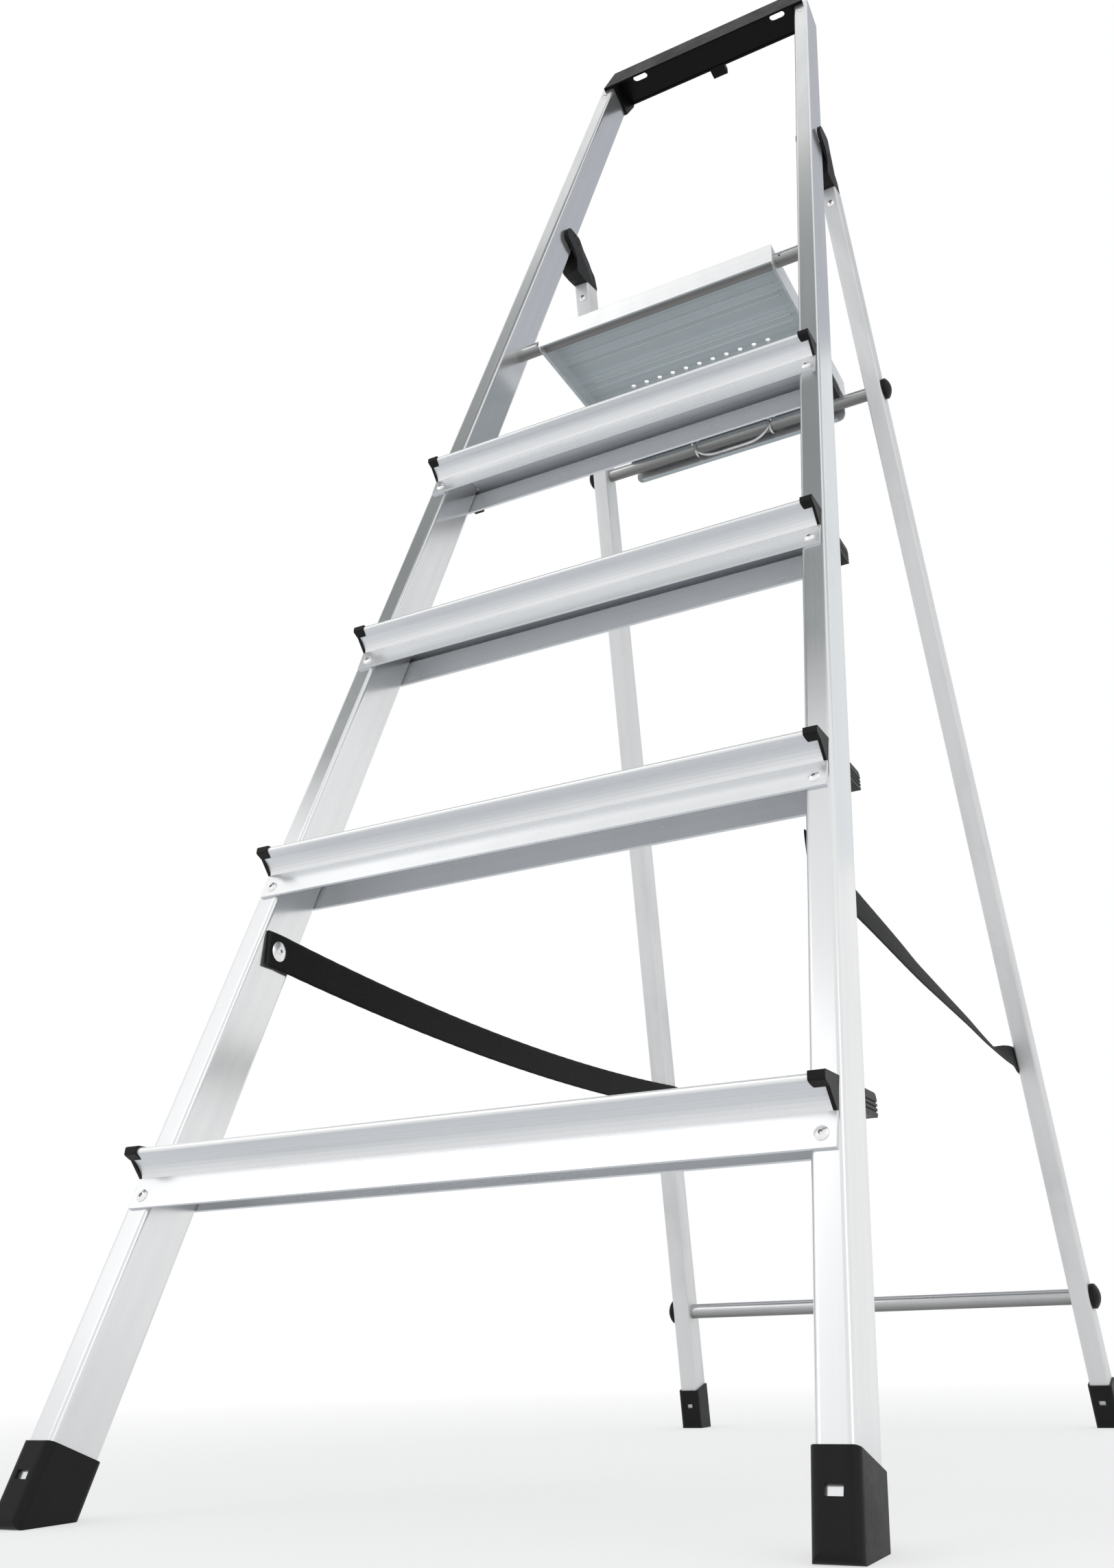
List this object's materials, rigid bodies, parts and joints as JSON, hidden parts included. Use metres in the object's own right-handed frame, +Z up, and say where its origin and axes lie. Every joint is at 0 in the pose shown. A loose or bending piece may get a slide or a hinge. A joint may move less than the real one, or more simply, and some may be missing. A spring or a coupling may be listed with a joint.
{
  "type": "step ladder",
  "caption": "Folding aluminium step ladder with plastic end caps, a fold-up platform, a shallow tool tray on top and webbing safety straps.",
  "frame": {"origin": "on the floor, midway across the ladder and midway between the front and rear feet", "axes": "+Z up, +Y from the climbing side towards the rear legs, +X to the climber's right"},
  "size_m": [0.473, 0.8766, 1.657],
  "materials": {
    "aluminium": "extruded mill finish, satin",
    "platform_aluminium": "pressed sheet, satin",
    "tube_aluminium": "drawn tube, semi-bright",
    "rivet_aluminium": "bright",
    "steel": "zinc plated, semi-bright",
    "foot_plastic": "satin moulded",
    "black_plastic": "fine-grained moulded",
    "webbing": "woven polyester"
  },
  "bodies": {
    "front_frame": {"stile_left": "aluminium", "stile_right": "aluminium", "step_1": "aluminium", "step_2": "aluminium", "step_3": "aluminium", "step_4": "aluminium", "front_caps_left": "black_plastic", "front_caps_right": "black_plastic", "rear_caps_left": "black_plastic", "rear_caps_right": "black_plastic", "step_rivets": "rivet_aluminium", "top_tray": "black_plastic", "tray_rivets": "rivet_aluminium", "front_foot_left": "foot_plastic", "front_foot_right": "foot_plastic", "platform_tube": "tube_aluminium", "hinge_pin_left": "steel", "hinge_pin_right": "steel", "strap_left": "webbing", "strap_right": "webbing", "strap_rivets_front": "rivet_aluminium"},
    "rear_frame": {"hinge_fork_left": "black_plastic", "hinge_fork_right": "black_plastic", "rear_leg_left": "aluminium", "rear_leg_right": "aluminium", "upper_rear_tube": "tube_aluminium", "lower_rear_tube": "tube_aluminium", "tube_caps": "black_plastic", "fork_rivets": "rivet_aluminium", "rear_foot_left": "foot_plastic", "rear_foot_right": "foot_plastic", "strap_rivets_rear": "rivet_aluminium"},
    "platform": {"platform_tray": "platform_aluminium", "platform_rear_rail": "platform_aluminium", "rail_rivets": "rivet_aluminium"},
    "latch": {"wire_latch": "steel"}
  },
  "joints": [
    {"name": "rear_fold", "type": "hinge", "parent": "front_frame", "child": "rear_frame", "pos_m": [0, 0.05421, 1.27567], "axis": [-1, 0, 0], "range_deg": [0, 33.5], "deforming": ["strap_left", "strap_right"]},
    {"name": "platform_fold", "type": "hinge", "parent": "front_frame", "child": "platform", "pos_m": [0, -0.035, 1.043], "axis": [1, 0, 0], "range_deg": [0, 70]},
    {"name": "latch_swing", "type": "hinge", "parent": "rear_frame", "child": "latch", "pos_m": [0, 0.17019, 1.01824], "axis": [-1, 0, 0], "range_deg": [0, 80]}
  ],
  "couplings": [
    {"joint": "platform_fold", "follows": "rear_fold", "ratio": 2.085}
  ]
}
